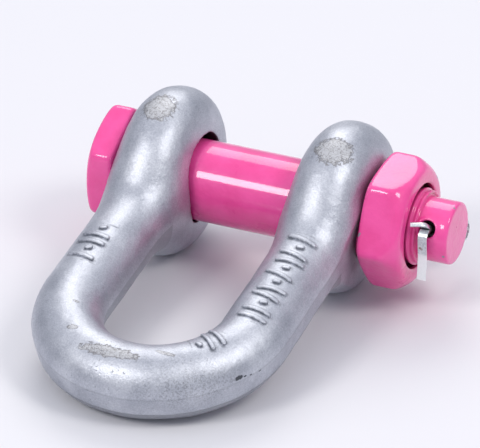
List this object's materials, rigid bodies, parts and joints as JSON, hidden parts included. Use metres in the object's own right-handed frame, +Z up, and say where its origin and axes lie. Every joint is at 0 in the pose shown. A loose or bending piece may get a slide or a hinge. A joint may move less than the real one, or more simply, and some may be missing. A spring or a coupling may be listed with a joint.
{
  "type": "dee shackle",
  "caption": "Bolt-type dee shackle with two round ears, a headed bolt, a hexagon nut and a bent split pin, lying flat.",
  "frame": {"origin": "on the bolt's axis, half way between the inner faces of the two ears", "axes": "+X along the bolt towards the nut; -Y towards the crown, level; +Z straight up, with the shackle lying at rest on a level surface on its two ears and its crown"},
  "size_m": [0.1022, 0.1159, 0.0466],
  "materials": {
    "galvanised_forging": "hot-dip galvanised, satin, blue-grey",
    "pink_bolt_paint": "thick glossy pink paint",
    "pink_nut_paint": "thick glossy pink paint",
    "bright_zinc": "bright zinc plate"
  },
  "bodies": {
    "shackle_body": {"shackle_body": "galvanised_forging"},
    "bolt": {"bolt": "pink_bolt_paint"},
    "nut": {"nut": "pink_nut_paint"},
    "split_pin": {"split_pin": "bright_zinc"}
  },
  "joints": [
    {"name": "bolt_spin", "type": "hinge", "parent": "shackle_body", "child": "bolt", "pos_m": [0, 0, 0], "axis": [1, 0, 0], "continuous": true},
    {"name": "nut_turn", "type": "hinge", "parent": "bolt", "child": "nut", "pos_m": [0.042, 0, 0], "axis": [1, 0, 0], "range_deg": [-210, 145]},
    {"name": "split_pin_slide", "type": "slide", "parent": "bolt", "child": "split_pin", "axis": [0, -0.887, 0.4618], "range_m": [-0.0004, 0.009]}
  ]
}
